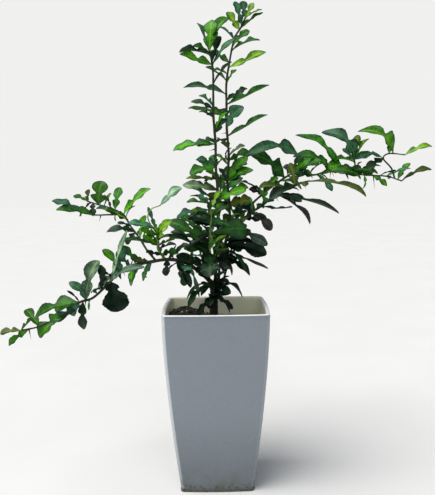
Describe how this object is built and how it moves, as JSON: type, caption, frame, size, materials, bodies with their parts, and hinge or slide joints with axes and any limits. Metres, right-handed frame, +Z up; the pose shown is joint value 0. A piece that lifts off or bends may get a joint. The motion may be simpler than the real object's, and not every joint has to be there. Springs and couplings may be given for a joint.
{
  "type": "potted makrut lime",
  "caption": "Young makrut lime shrub with thorny arching stems and double leaves, in a tall tapered square planter with a rolled rim.",
  "frame": {"origin": "middle of the planter's flat underside, on the surface it stands on", "axes": "+Z up along the planter and the stems; -Y towards the viewer, the front; +X to the viewer's right"},
  "size_m": [1.2907, 0.4592, 1.45],
  "materials": {
    "planter": "smooth blue-grey gloss with a pale rolled rim",
    "soil": "dark moist crumbly potting soil with white grit",
    "bark": "grey-brown young bark",
    "leaves": "glossy leathery leaves on green stems, paler below",
    "young_leaves": "glossy yellow-green young leaves"
  },
  "bodies": {
    "root": {"pot": "planter", "soil": "soil", "trunk": "bark", "left_tall_stem": "leaves", "right_tall_stem": "leaves", "inner_shoot": "young_leaves", "base_shoot": "leaves", "lower_left_branch": "leaves", "upper_left_branch": "young_leaves", "left_inner_shoot": "young_leaves", "lower_right_branch": "leaves", "upper_right_branch": "leaves", "back_left_shoot": "leaves", "back_right_shoot": "leaves", "back_middle_shoot": "leaves"}
  },
  "joints": []
}
